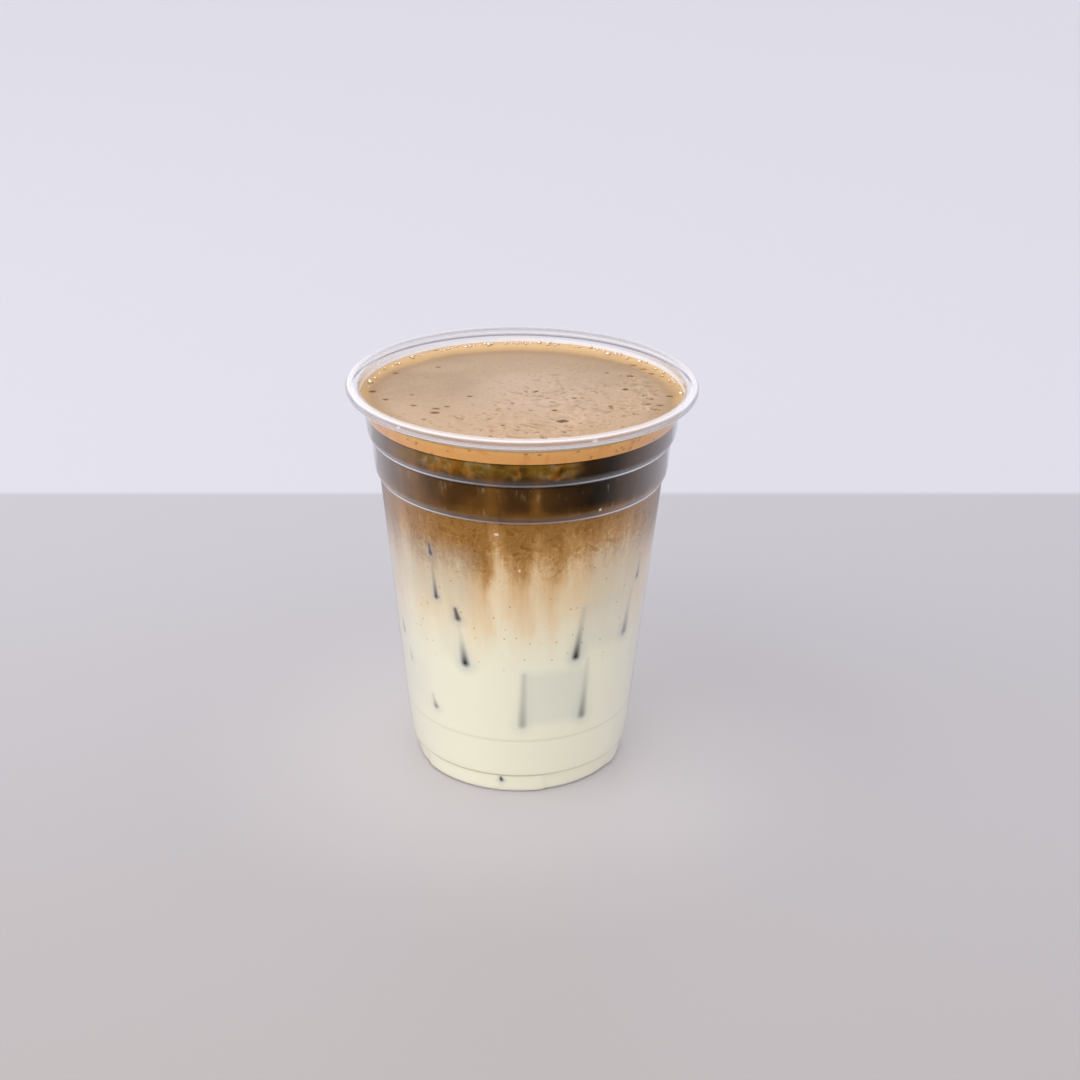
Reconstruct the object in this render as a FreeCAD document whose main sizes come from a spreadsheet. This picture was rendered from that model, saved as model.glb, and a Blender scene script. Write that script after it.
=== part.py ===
import FreeCAD, Part
import math
import os
import re

import Sketcher

# An iced hojicha latte in the clear thin-walled cup that it is served in.  The cup
# is drawn once as a wall section and spun, and the drink is the inside of the same
# section, a hair's breadth off the wall, cut into milk, tea and foam.
# Millimetres, +Z up, the origin at the centre of the foot where the cup stands.

SIZES = {
    # the whole cup
    "cup_height": 115.6,
    "rim_radius": 49.0,
    "foot_radius": 30.0,
    "wall": 0.45,
    # rolled rim: the curl's outside, and how far its lip turns in past the bottom
    "curl_radius": 1.9,
    "lip_turn": 20.0,
    # each turn of the wall, down from the rim's top and in from its edge: the mouth,
    # the shoulder that flares out to it, and two stacking bands above their rings
    "mouth_drop": 4.8,
    "shoulder_drop": 8.0,
    "shoulder_inset": 5.1,
    "upper_band_drop": 13.2,
    "upper_band_inset": 5.5,
    "upper_ring_drop": 16.0,
    "upper_ring_inset": 6.9,
    "lower_band_drop": 24.2,
    "lower_band_inset": 7.5,
    "lower_ring_drop": 27.4,
    "lower_ring_inset": 9.0,
    # foot, the step out over it, and the faint crease in the tapered wall
    "foot_edge": 0.8,
    "foot_height": 5.3,
    "foot_flare": 0.4,
    "step_rise": 0.8,
    "step_width": 1.35,
    "crease_height": 18.1,
    "crease_flare": 1.5,
    # wide stacking lugs round the foot
    "lug_count": 3,
    "lug_angle": 75.0,
    "lug_centre": 8.5,
    "lug_depth": 0.5,
    # standing ring and the panel pushed up inside it
    "ring_width": 3.8,
    "panel_height": 3.2,
    "panel_draft": 2.0,
    # drink: the space left over it, its layers and the foam's edge up the wall
    "film_gap": 0.1,
    "headspace": 4.9,
    "foam_depth": 4.3,
    "tea_depth": 28.7,
    "climb_height": 0.5,
    "climb_width": 1.0,
    # how deep the tea sinks into the milk, and from how far out it starts to
    "sink_depth": 20.0,
    "sink_start": 14.0,
}

# Where tongues of tea sink down the wall, and how strongly: the azimuth of each, in
# degrees from the front (-Y) towards +X, its half width and its share of sink_depth.
TEA_TONGUES = [
    (-168, 9, 0.7), (-140, 8, 0.9), (-112, 10, 0.5), (-76, 10, 0.3), (-46, 8, 0.9),
    (-16, 7, 1.0), (1, 6, 0.7), (15, 6, 1.0), (34, 8, 0.6), (96, 10, 0.8),
    (122, 8, 0.5), (150, 9, 1.0),
]
# Milk rises between them where the sheet of tea is thin: azimuth, half width, share.
MILK_RISES = [(62, 16, 0.45), (-92, 12, 0.35), (-10, 4, 0.2), (178, 12, 0.3)]

doc = FreeCAD.newDocument("iced_hojicha")
sheet = doc.addObject("Spreadsheet::Sheet", "sizes")
for row, (alias, number) in enumerate(SIZES.items(), 1):
    sheet.set(f"A{row}", alias)
    sheet.set(f"B{row}", str(number))
    sheet.setAlias(f"B{row}", alias)
doc.recompute()


def bound(text):
    """The same sum with each size read from the sheet."""
    return re.sub(r"[a-z_]+", lambda word: from_sheet(word.group()), text)


def from_sheet(word):
    return f"sizes.{word}" if word in SIZES else word


def number_of(text):
    return float(sheet.evalExpression(bound(text)))


# --- sketching and spinning -------------------------------------------------------


def origin_feature(body, role):
    return [part for part in body.Origin.OriginFeatures if part.Role == role][0]


def section(body, name, steps, turn="0"):
    """A closed half section in a body, radius across and height up.

    Each step is a corner (radius, height) reached by a straight edge, or a corner
    (radius, height, bend, side) reached by a short arc of radius bend whose centre
    lies on the left or right of the way that the outline runs.  turn swings the
    section about the cup's axis.
    """
    sketch = body.newObject("Sketcher::SketchObject", name)
    sketch.AttachmentSupport = [(origin_feature(body, "XZ_Plane"), "")]
    sketch.MapMode = "FlatFace"
    sketch.AttachmentOffset = FreeCAD.Placement(
        FreeCAD.Vector(), FreeCAD.Rotation(FreeCAD.Vector(0, 1, 0), 1.0))
    sketch.setExpression("AttachmentOffset.Rotation.Angle", bound(turn))
    corners = [FreeCAD.Vector(number_of(step[0]), number_of(step[1]), 0) for step in steps]
    edges = [add_edge(sketch, corners[index - 1], corners[index], step[2:])
             for index, step in enumerate(steps)]
    for index, (edge, start, finish) in enumerate(edges):
        last_edge, _, last_finish = edges[index - 1]
        sketch.addConstraint(
            Sketcher.Constraint("Coincident", last_edge, last_finish, edge, start))
        hold(sketch, edge, finish, "DistanceX", steps[index][0])
        hold(sketch, edge, finish, "DistanceY", steps[index][1])
    return sketch


def add_edge(sketch, start, finish, arc):
    """Adds one edge; gives its number and which of its ends come first and last."""
    if not arc:
        return sketch.addGeometry(Part.LineSegment(start, finish)), 1, 2
    bend, side = arc
    radius = number_of(bend)
    if side == "right":
        start, finish = finish, start
    middle = (start + finish) * 0.5
    chord = finish - start
    across = FreeCAD.Vector(-chord.y, chord.x, 0).normalize()
    centre = middle + across * (radius ** 2 - (chord.Length / 2) ** 2) ** 0.5
    crown = centre - across * radius
    edge = sketch.addGeometry(Part.Arc(start, crown, finish))
    index = sketch.addConstraint(Sketcher.Constraint("Radius", edge, radius))
    sketch.setExpression(f"Constraints[{index}]", bound(bend))
    return (edge, 2, 1) if side == "right" else (edge, 1, 2)


def hold(sketch, edge, end, along, text):
    """Holds an end of an edge at its distance from the sketch's origin."""
    if text == "0":
        axis = -2 if along == "DistanceX" else -1
        sketch.addConstraint(Sketcher.Constraint("PointOnObject", edge, end, axis))
        return
    index = sketch.addConstraint(
        Sketcher.Constraint(along, -1, 1, edge, end, number_of(text)))
    sketch.setExpression(f"Constraints[{index}]", bound(text))


def spin(body, kind, name, sketch, angle="360"):
    """Revolves a section, half of the angle to each side of its plane."""
    feature = body.newObject(f"PartDesign::{kind}", name)
    feature.Profile = sketch
    feature.ReferenceAxis = (sketch, ["V_Axis"])
    feature.Midplane = True
    feature.setExpression("Angle", bound(angle))
    return feature


def repeat_round_foot(body, name, features):
    pattern = body.newObject("PartDesign::PolarPattern", name)
    pattern.Originals = features
    pattern.Axis = (origin_feature(body, "Z_Axis"), [""])
    pattern.Angle = 360
    pattern.setExpression("Occurrences", bound("lug_count"))
    body.Tip = pattern


# --- the wall's section -----------------------------------------------------------

MOUTH_RADIUS = "(rim_radius - 2 * curl_radius)"
FOOT_TOP = "(foot_radius + foot_flare)"
DRINK_LEVEL = "(cup_height - headspace)"
FOAM_UNDERSIDE = f"({DRINK_LEVEL} - foam_depth)"
CURL_ACROSS = "(rim_radius - curl_radius)"
CURL_UP = "(cup_height - curl_radius)"


def turn(name, inset, lift="0"):
    """A corner of the wall's outer face, moved in and up to another face."""
    return f"rim_radius - {name}_inset - {inset}", f"cup_height - {name}_drop + {lift}"


def band(name, inset, lift):
    """A stacking band: its ring, and the arc out and up that meets the band upright."""
    across = f"({name}_ring_inset - {name}_band_inset)"
    rise = f"({name}_ring_drop - {name}_band_drop)"
    bend = f"({across} ^ 2 + {rise} ^ 2) / (2 * {across})"
    return [
        turn(f"{name}_ring", inset, lift),
        turn(f"{name}_band", inset, lift) + (bend, "left"),
    ]


def wall_face(inset):
    """A face of the wall, from the middle of the base out and up to the mouth.

    inset is how far it lies in from the cup's outer face: nothing for that face,
    the wall for the inner one, and the film gap more for the drink.
    """
    lift = f"{inset} / 2"
    standing_ring = "(foot_radius - foot_edge - ring_width)"
    return [
        ("0", f"panel_height + {inset}"),
        (f"{standing_ring} - panel_draft + {inset}", f"panel_height + {inset}"),
        (f"{standing_ring} + {inset}", inset),
        ("foot_radius - foot_edge", inset),
        (f"foot_radius - {inset}", "foot_edge", f"foot_edge - {inset}", "left"),
        (f"{FOOT_TOP} - {inset}", f"foot_height + {lift}"),
        (f"{FOOT_TOP} + step_width - {inset}", f"foot_height + step_rise + {lift}"),
        (f"{FOOT_TOP} + step_width + crease_flare - {inset}", "crease_height"),
        *band("lower", inset, lift),
        *band("upper", inset, lift),
        turn("shoulder", inset),
        (f"{MOUTH_RADIUS} + wall - {inset}", "cup_height - mouth_drop"),
        (f"{MOUTH_RADIUS} + wall - {inset}", CURL_UP),
    ]


def turned_back(steps):
    """The same outline run the other way, from its last corner to its first."""
    swap = {"left": "right", "right": "left"}
    back = [steps[-1][:2]]
    for here, before in zip(steps[:0:-1], steps[-2::-1]):
        arc = (here[2], swap[here[3]]) if len(here) == 4 else ()
        back.append(before[:2] + arc)
    return back


def curl(radius):
    """The rolled rim's sheet at one radius, over the top and down to the lip."""
    return [
        (CURL_ACROSS, f"{CURL_UP} + {radius}", radius, "right"),
        (f"{CURL_ACROSS} + {radius}", CURL_UP, radius, "right"),
        (CURL_ACROSS, f"{CURL_UP} - {radius}", radius, "right"),
        (f"{CURL_ACROSS} - {radius} * sin(lip_turn)",
         f"{CURL_UP} - {radius} * cos(lip_turn)", radius, "right"),
    ]


def lug_section(inset, back):
    """A lug's section: its face, and a back that lies that far in from the foot's."""
    return [
        ("foot_radius - foot_edge", inset),
        ("foot_radius - foot_edge + lug_depth", inset),
        (f"foot_radius + lug_depth - {inset}", "foot_edge", f"foot_edge - {inset}", "left"),
        (f"{FOOT_TOP} + lug_depth - {inset}",
         f"foot_height + {inset} / 2 + lug_depth * step_rise / step_width"),
        (f"{FOOT_TOP} - {inset}", f"foot_height + {inset} / 2"),
        (f"{FOOT_TOP} - {back}", "foot_height"),
        (f"foot_radius - {back}", "foot_edge"),
    ]


def lug_angle(inset):
    """The angle between a lug's sides, each one the inset in from the outer face."""
    return f"lug_angle - 2 * {inset} / foot_radius * 180 / pi"


# --- cup --------------------------------------------------------------------------
# One sheet of clear plastic, drawn over a mould and rolled over at the rim.

cup = doc.addObject("PartDesign::Body", "cup")
wall_outline = wall_face("0") + curl("(curl_radius - wall)")
wall_outline += turned_back(wall_face("wall") + curl("curl_radius"))
spin(cup, "Revolution", "cup_wall", section(cup, "cup_section", wall_outline))
lug = spin(cup, "Revolution", "lug",
           section(cup, "lug_outline", lug_section("0", "wall / 2"), "lug_centre"),
           lug_angle("0"))
repeat_round_foot(cup, "lugs", [lug])
hollow = spin(cup, "Groove", "lug_hollow",
              section(cup, "hollow_outline", lug_section("wall", "2 * wall"), "lug_centre"),
              lug_angle("wall"))
repeat_round_foot(cup, "lug_hollows", [hollow])

# --- drink ------------------------------------------------------------------------
# All that the cup holds, lugs and standing ring included, as one body up to the rim.

FILLED = "(wall + film_gap)"

drink = doc.addObject("PartDesign::Body", "drink")
drink_outline = wall_face(FILLED) + [("0", CURL_UP)]
spin(drink, "Revolution", "drink_core", section(drink, "drink_section", drink_outline))
drink_lug = spin(drink, "Revolution", "drink_lug",
                 section(drink, "drink_lug_outline", lug_section(FILLED, "2 * wall"),
                         "lug_centre"),
                 lug_angle(FILLED))
repeat_round_foot(drink, "drink_lugs", [drink_lug])


def span(name, low, high):
    """A plain disc wider than the cup between two levels."""
    disc = doc.addObject("Part::Cylinder", name)
    disc.setExpression("Radius", bound("rim_radius"))
    disc.setExpression("Height", bound(f"{high} - {low}"))
    disc.setExpression("Placement.Base.z", bound(low))
    return disc


def combine(kind, name, base, tool):
    result = doc.addObject(f"Part::{kind}", name)
    result.Base = base
    result.Tool = tool
    return result


def swell(azimuth, humps):
    """Sum of smooth humps round the wall, 1 at the middle of a full one."""
    total = 0
    for centre, half_width, share in humps:
        away = (azimuth - centre + 180) % 360 - 180
        total += share * math.exp(-(away / half_width) ** 2)
    return total


# The milk's upper edge is drawn through a point every few degrees, carried out past
# the wall to the rim's radius, and cut into equal sectors.
EDGE_STEP = 4
SECTOR = 20
MILK_LEVEL = f"({FOAM_UNDERSIDE} - tea_depth)"
SINK_AT_RIM = """sink_depth * (rim_radius - sink_start)
    / (rim_radius - lower_ring_inset - sink_start)"""


def round_point(azimuth, radius, height):
    angle = math.radians(azimuth)
    return FreeCAD.Vector(radius * math.sin(angle), -radius * math.cos(angle), height)


def milk_edge(azimuth):
    rise = swell(azimuth, MILK_RISES) - swell(azimuth, TEA_TONGUES)
    height = number_of(MILK_LEVEL) + number_of(SINK_AT_RIM) * rise
    return round_point(azimuth, number_of("rim_radius"), height)


def milk_block():
    """All that lies under the milk's upper face, which is level as far out as
    sink_start and ruled from there to the wavy edge, one face to each sector."""
    edge = Part.BSplineCurve()
    edge.interpolate(Points=[milk_edge(azimuth) for azimuth in range(0, 360, EDGE_STEP)],
                     PeriodicFlag=True)
    seams = [edge.parameter(milk_edge(azimuth)) for azimuth in range(SECTOR, 360, SECTOR)]
    seams = [edge.FirstParameter, *seams, edge.LastParameter]
    inner_edges = [
        Part.Arc(*(round_point(SECTOR * (number + share), number_of("sink_start"),
                               number_of(MILK_LEVEL)) for share in (0, 0.5, 1))).toShape()
        for number in range(360 // SECTOR)]
    faces = [Part.makeRuledSurface(inner, edge.toShape(first, last))
             for inner, first, last in zip(inner_edges, seams, seams[1:])]
    faces.append(Part.Face(Part.Wire(inner_edges)))
    down = FreeCAD.Vector(0, 0, -number_of("cup_height"))
    prisms = [face.extrude(down) for face in faces]
    return prisms[0].fuse(prisms[1:])


milk_mould = doc.addObject("Part::Feature", "milk_mould")
milk_mould.Shape = milk_block()
milk_mould.Placement = FreeCAD.Placement()

# Milk lies on the base, the dark tea sinks into it from above, and the foam is level
# with the shoulder and climbs the wall a little at its edge.
milk = combine("Common", "milk", drink, milk_mould)
below_foam = combine("Common", "below_foam", drink, span("below_foam_span", "0", FOAM_UNDERSIDE))
tea = combine("Cut", "tea", below_foam, milk_mould)
foam_span = span("foam_span", FOAM_UNDERSIDE, f"({DRINK_LEVEL} + climb_height)")
foam_slice = combine("Common", "foam_slice", drink, foam_span)

above_foam = doc.addObject("PartDesign::Body", "above_foam")
climb_bend = "(climb_width ^ 2 + climb_height ^ 2) / (2 * climb_height)"
spin(above_foam, "Revolution", "space_above", section(above_foam, "space_section", [
    ("0", DRINK_LEVEL),
    (f"{MOUTH_RADIUS} - climb_width", DRINK_LEVEL),
    (MOUTH_RADIUS, f"{DRINK_LEVEL} + climb_height", climb_bend, "left"),
    (MOUTH_RADIUS, "cup_height"),
    ("0", "cup_height"),
]))
foam = combine("Cut", "foam", foam_slice, above_foam)

# --- check and write --------------------------------------------------------------

PIECES = [cup, milk, tea, foam]

doc.recompute()
failed = [thing.Name for thing in doc.Objects
          if "Invalid" in thing.State or "Error" in thing.State]
failed += [piece.Label for piece in PIECES
           if piece.Shape.isNull() or not piece.Shape.isValid()]
if failed:
    raise RuntimeError("not built: " + ", ".join(failed))

os.makedirs("parts", exist_ok=True)
for piece in PIECES:
    piece.Shape.exportStep(f"parts/{piece.Label}.step")
    print(f"{piece.Label}: {len(piece.Shape.Solids)} solid, {piece.Shape.Volume / 1000:.2f} ml")
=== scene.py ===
import math
import random

import bmesh
import bpy
from mathutils import Matrix, Vector, noise


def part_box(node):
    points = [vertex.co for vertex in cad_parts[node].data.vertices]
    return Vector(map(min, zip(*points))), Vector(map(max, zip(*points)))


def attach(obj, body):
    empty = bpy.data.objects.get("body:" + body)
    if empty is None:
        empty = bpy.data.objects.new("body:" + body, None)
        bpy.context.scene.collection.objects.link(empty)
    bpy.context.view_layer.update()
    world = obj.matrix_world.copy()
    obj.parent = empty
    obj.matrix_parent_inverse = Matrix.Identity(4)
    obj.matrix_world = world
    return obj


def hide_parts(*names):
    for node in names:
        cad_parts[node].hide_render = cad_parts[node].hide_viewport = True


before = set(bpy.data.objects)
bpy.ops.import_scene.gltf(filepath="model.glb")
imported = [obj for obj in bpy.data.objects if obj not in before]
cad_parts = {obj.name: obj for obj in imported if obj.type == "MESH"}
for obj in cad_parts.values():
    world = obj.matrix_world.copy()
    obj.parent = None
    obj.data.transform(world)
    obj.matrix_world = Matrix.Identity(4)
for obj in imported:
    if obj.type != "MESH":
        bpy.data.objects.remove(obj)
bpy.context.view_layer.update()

# --- Cup ---------------------------------------------------------------------------
# A cold-drink cup of clear plastic sheet, drawn down over a mould in one piece: a base
# pushed up inside a lugged foot, a tapered wall, two stacking bands and a mouth that
# flares into a rolled rim.  Half of its section is drawn, rounded and spun.

MM = 0.001
STEPS_ROUND = 288
SECTION_STEP = 3.0 * MM
CORNER_SHARE = 0.48
WELD = 0.001 * MM
SHARP = math.radians(50)

cup_low, cup_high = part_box("cup")
RIM_RADIUS = min(cup_high.x, cup_high.y, -cup_low.x, -cup_low.y)
CUP_HEIGHT = cup_high.z
WALL = 0.45 * MM

# The curl of the rim: a little lower than it is wide, and open at its lip.
CURL_RADIUS = 1.9 * MM
CURL_HALF_HEIGHT = 1.55 * MM
CURL_UNDERSIDE = CUP_HEIGHT - CURL_RADIUS * 2
CURL_MIDDLE = Vector((RIM_RADIUS - CURL_RADIUS, CURL_UNDERSIDE + CURL_HALF_HEIGHT))
CURL_TURN = math.radians(250)
CURL_STEPS = 26

FOOT_RADIUS = 30.0 * MM
FOOT_EDGE = 0.8 * MM
STANDING_RING = 3.8 * MM
PANEL_HEIGHT = 3.2 * MM
CREASE = (33.25 * MM, 18.1 * MM)
LOWER_RING = (40.0 * MM, 88.2 * MM)

# Three lugs widen the foot: the azimuths of their middles, half their width and the width
# of their sides in degrees, and the heights between which they end.
LUG_CENTRES = (98.5, -21.5, -141.5)
LUG_HALF = 37.5
LUG_SIDE = 1.6
LUG_DEPTH = 0.5 * MM
LUG_END = (5.2 * MM, 6.0 * MM)
LUG_FROM_RADIUS = FOOT_RADIUS - FOOT_EDGE - 1.0 * MM


def smooth(low, high, value):
    """Eases from 0 at low to 1 at high."""
    share = min(max((value - low) / (high - low), 0), 1)
    return share * share * (3 - 2 * share)


def outer_corners():
    """The outer face's corners from the base's middle up: radius, height, rounding."""
    mouth = RIM_RADIUS - 2 * CURL_RADIUS + WALL
    ring = FOOT_RADIUS - FOOT_EDGE - STANDING_RING
    return [
        (0, PANEL_HEIGHT, 0),
        (ring - 2.0 * MM, PANEL_HEIGHT, 1.2 * MM),
        (ring, 0, 0.6 * MM),
        (FOOT_RADIUS, 0, 0.9 * MM),
        (30.4 * MM, 5.3 * MM, 0.25 * MM),
        (31.75 * MM, 6.1 * MM, 0.5 * MM),
        (*CREASE, 2.5 * MM),
        (*LOWER_RING, 0.35 * MM),
        (41.05 * MM, 89.35 * MM, 1.3 * MM),
        (41.5 * MM, 91.6 * MM, 0.8 * MM),
        (42.1 * MM, 99.6 * MM, 0.35 * MM),
        (43.1 * MM, 100.7 * MM, 1.2 * MM),
        (43.5 * MM, 102.6 * MM, 0.8 * MM),
        (43.9 * MM, 107.6 * MM, 1.2 * MM),
        (mouth, CUP_HEIGHT - 4.8 * MM, 1.2 * MM),
        (mouth, CUP_HEIGHT - CURL_RADIUS, 0),
    ]


def rounded(corners):
    """The corners joined up, each one rounded off, as points (radius, height)."""
    points = []
    for number, (radius, height, rounding) in enumerate(corners):
        corner = Vector((radius, height))
        if rounding == 0:
            points.append(corner)
            continue
        back = Vector(corners[number - 1][:2]) - corner
        on = Vector(corners[number + 1][:2]) - corner
        reach = min(rounding, back.length * CORNER_SHARE, on.length * CORNER_SHARE)
        start = corner + back.normalized() * reach
        end = corner + on.normalized() * reach
        for share in (0, 0.25, 0.5, 0.75, 1):
            points.append(start.lerp(corner, share).lerp(corner.lerp(end, share), share))
    return points


def spaced(points):
    """The points, with more between them wherever they lie further apart than a step."""
    close = [points[0]]
    for here, there in zip(points, points[1:]):
        parts = max(1, math.ceil((there - here).length / SECTION_STEP))
        close += [here.lerp(there, part / parts) for part in range(1, parts + 1)]
    return close


def spun(points):
    """A bmesh of a half section, (radius, height) points, spun round the cup's axis."""
    mesh = bmesh.new()
    verts = [mesh.verts.new((0, -radius, height)) for radius, height in points]
    edges = [mesh.edges.new(pair) for pair in zip(verts, verts[1:])]
    bmesh.ops.spin(mesh, geom=verts + edges, axis=(0, 0, 1), cent=(0, 0, 0),
                   angle=math.tau, steps=STEPS_ROUND, use_merge=True)
    bmesh.ops.remove_doubles(mesh, verts=mesh.verts, dist=WELD)
    bmesh.ops.recalc_face_normals(mesh, faces=mesh.faces)
    return mesh


def azimuth_of(place):
    """Degrees round the axis from the front, -Y, towards +X."""
    return math.degrees(math.atan2(place.x, -place.y))


def turned_by(azimuth, centre):
    """Degrees between two azimuths, the shorter way round."""
    return abs((azimuth - centre + 180) % 360 - 180)


def widen_lugs(mesh):
    """Moves the foot out at each lug."""
    for vert in mesh.verts:
        radius = math.hypot(vert.co.x, vert.co.y)
        if vert.co.z > LUG_END[1] or radius < LUG_FROM_RADIUS:
            continue
        azimuth = azimuth_of(vert.co)
        nearest = min(turned_by(azimuth, centre) for centre in LUG_CENTRES)
        lug = 1 - smooth(LUG_HALF - LUG_SIDE, LUG_HALF, nearest)
        out = 1 + LUG_DEPTH * lug * (1 - smooth(*LUG_END, vert.co.z)) / radius
        vert.co.x *= out
        vert.co.y *= out


def finished_piece(name, mesh, *finishes):
    """The bmesh as a smooth object of the part, with its materials."""
    data = bpy.data.meshes.new(name)
    mesh.to_mesh(data)
    mesh.free()
    data.polygons.foreach_set("use_smooth", [True] * len(data.polygons))
    data.set_sharp_from_angle(angle=SHARP)
    for finish in finishes:
        data.materials.append(finish.material)
    piece = bpy.data.objects.new(name, data)
    bpy.context.scene.collection.objects.link(piece)
    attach(piece, "root")
    return piece


class Value:
    """A node's result in a sum: each operator adds the Math node that works it out."""

    def __init__(self, finish, socket):
        self.finish = finish
        self.socket = socket

    def __add__(self, other):
        return self.finish.maths("ADD", self, other)

    def __sub__(self, other):
        return self.finish.maths("SUBTRACT", self, other)

    def __rsub__(self, other):
        return self.finish.maths("SUBTRACT", other, self)

    def __mul__(self, other):
        return self.finish.maths("MULTIPLY", self, other)

    def __truediv__(self, other):
        return self.finish.maths("DIVIDE", self, other)

    def __rtruediv__(self, other):
        return self.finish.maths("DIVIDE", other, self)

    def __pow__(self, other):
        return self.finish.maths("POWER", self, other)

    def __rpow__(self, other):
        return self.finish.maths("POWER", other, self)

    __radd__ = __add__
    __rmul__ = __mul__

    def size(self):
        return self.finish.maths("ABSOLUTE", self)

    def at_least(self, other):
        return self.finish.maths("MAXIMUM", self, other)

    def at_most(self, other):
        return self.finish.maths("MINIMUM", self, other)

    def eased(self, low, high):
        """Eases from 0 at low to 1 at high, or down where high is the lesser."""
        if low > high:
            return 1 - self.eased(high, low)
        return self.finish.node(
            "ShaderNodeMapRange", {"interpolation_type": "SMOOTHSTEP"},
            {"Value": self, "From Min": low, "From Max": high})


class Finish:
    """A material being made: its nodes come from node(), and shown() ends it."""

    def __init__(self, name):
        self.material = bpy.data.materials.new(name)
        self.material.use_nodes = True
        self.tree = self.material.node_tree
        self.tree.nodes.clear()

    def node(self, kind, settings=None, values=None, result=0):
        """Adds a node; gives the result asked for, by its number or name."""
        node = self.tree.nodes.new(kind)
        for setting, value in (settings or {}).items():
            setattr(node, setting, value)
        for name, value in (values or {}).items():
            if isinstance(value, Value):
                self.tree.links.new(value.socket, node.inputs[name])
            else:
                node.inputs[name].default_value = value
        return Value(self, node.outputs[result])

    def maths(self, operation, *terms):
        return self.node("ShaderNodeMath", {"operation": operation}, dict(enumerate(terms)))

    def vector_maths(self, operation, values, result=0):
        return self.node("ShaderNodeVectorMath", {"operation": operation}, values, result)

    def place(self):
        """Where a point lies on the piece, in millimetres."""
        spot = self.node("ShaderNodeTexCoord", result="Object")
        return self.vector_maths("SCALE", {0: spot, "Scale": 1 / MM})

    def parts(self, vector):
        split = self.node("ShaderNodeSeparateXYZ", values={0: vector})
        return [Value(self, part) for part in split.socket.node.outputs]

    def joined(self, *parts):
        return self.node("ShaderNodeCombineXYZ", values=dict(enumerate(parts)))

    def blend(self, share, first, second):
        """Colour between two, first at 0."""
        return self.node("ShaderNodeMix", {"data_type": "RGBA"},
                         {"Factor": share, 6: first, 7: second}, result=2)

    def noise(self, vector, stretch, scale, detail=3.0, distortion=0.0):
        """A cloudy pattern about 0.5, drawn out along an axis whose stretch is under 1."""
        stretched = self.vector_maths("MULTIPLY", {0: vector, 1: stretch})
        return self.node("ShaderNodeTexNoise", {"noise_dimensions": "3D"},
                         {"Vector": stretched, "Scale": scale, "Detail": detail,
                          "Distortion": distortion})

    def cells(self, vector, feature, scale):
        """The distance from the middle of a cell, F1, or to its edge."""
        return self.node("ShaderNodeTexVoronoi", {"feature": feature},
                         {"Vector": vector, "Scale": scale}, result="Distance")

    def attribute(self, name):
        return self.node("ShaderNodeAttribute", {"attribute_name": name}, result="Fac")

    def ramp(self, value, stops, interpolation="LINEAR"):
        """The colour at a value between stops of (position, colour)."""
        found = self.node("ShaderNodeValToRGB", values={0: value})
        ramp = found.socket.node.color_ramp
        ramp.interpolation = interpolation
        while len(ramp.elements) < len(stops):
            ramp.elements.new(1.0)
        for element, (position, shade) in zip(ramp.elements, stops):
            element.position = position
            element.color = shade
        return found

    def shader(self, kind, tint, **values):
        """A plain shader of one colour."""
        return self.node("ShaderNodeBsdf" + kind, values={"Color": tint, **values})

    def mix_shaders(self, share, first, second):
        return self.node("ShaderNodeMixShader", values={0: share, 1: first, 2: second})

    def shown(self, surface):
        output = self.tree.nodes.new("ShaderNodeOutputMaterial")
        self.tree.links.new(surface.socket, output.inputs["Surface"])
        return self

    def shown_solid(self, tint, roughness, specular, **others):
        """Ends a material that hides what lies behind it."""
        values = {"Base Color": tint, "Roughness": roughness, "Specular IOR Level": specular}
        return self.shown(self.node("ShaderNodeBsdfPrincipled", values={**values, **others}))


def colour(red, green, blue):
    """A colour written as on a screen, 0 to 255, as the linear one that shaders take."""
    def linear(part):
        part /= 255
        return part / 12.92 if part <= 0.04045 else ((part + 0.055) / 1.055) ** 2.4
    return (linear(red), linear(green), linear(blue), 1.0)


def near(value, middle, half):
    """1 at the middle, easing to 0 at half above and below."""
    return (value - middle).size().eased(half, 0)


def in_bands(value, bands):
    """How far a value lies in bands of (middle, half, strength)."""
    return sum(near(value, middle, half) * strength for middle, half, strength in bands)


def covered(shares):
    """How far something is covered by many layers, each covering its share."""
    clear = 1
    for share in shares:
        clear = (1 - share) * clear
    return 1 - clear


def radius_at(across, depth):
    return (across * across + depth * depth) ** 0.5


def azimuth_at(across, depth):
    """What azimuth_of gives, in nodes."""
    return across.finish.maths("ARCTAN2", across, depth * -1) * math.degrees(1)


def edge_on(finish, along):
    """How far from square on the cup's side is seen, as if its wall stood upright."""
    across, depth, _ = finish.parts(along)
    outward = finish.vector_maths("NORMALIZE", {0: finish.joined(across, depth)})
    return finish.node("ShaderNodeLayerWeight", values={"Blend": 0.5, "Normal": outward},
                       result="Facing")


GLOSS = (0.97, 0.97, 0.97, 1)
SQUARE_ON = 0.17

# Heights on the wall in mm: the folds over the two rings and the slopes above them, which
# get painted highlights, with half their height and their strength, and where the free
# strip over the foam starts.
RING_FOLDS = [(99.8, 0.62, 1), (88.4, 0.62, 1)]
RING_SLOPES = [(100.5, 1.7, 1), (89.3, 1.9, 0.8)]
STRIP_START = (110.7, 111.1)


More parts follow.
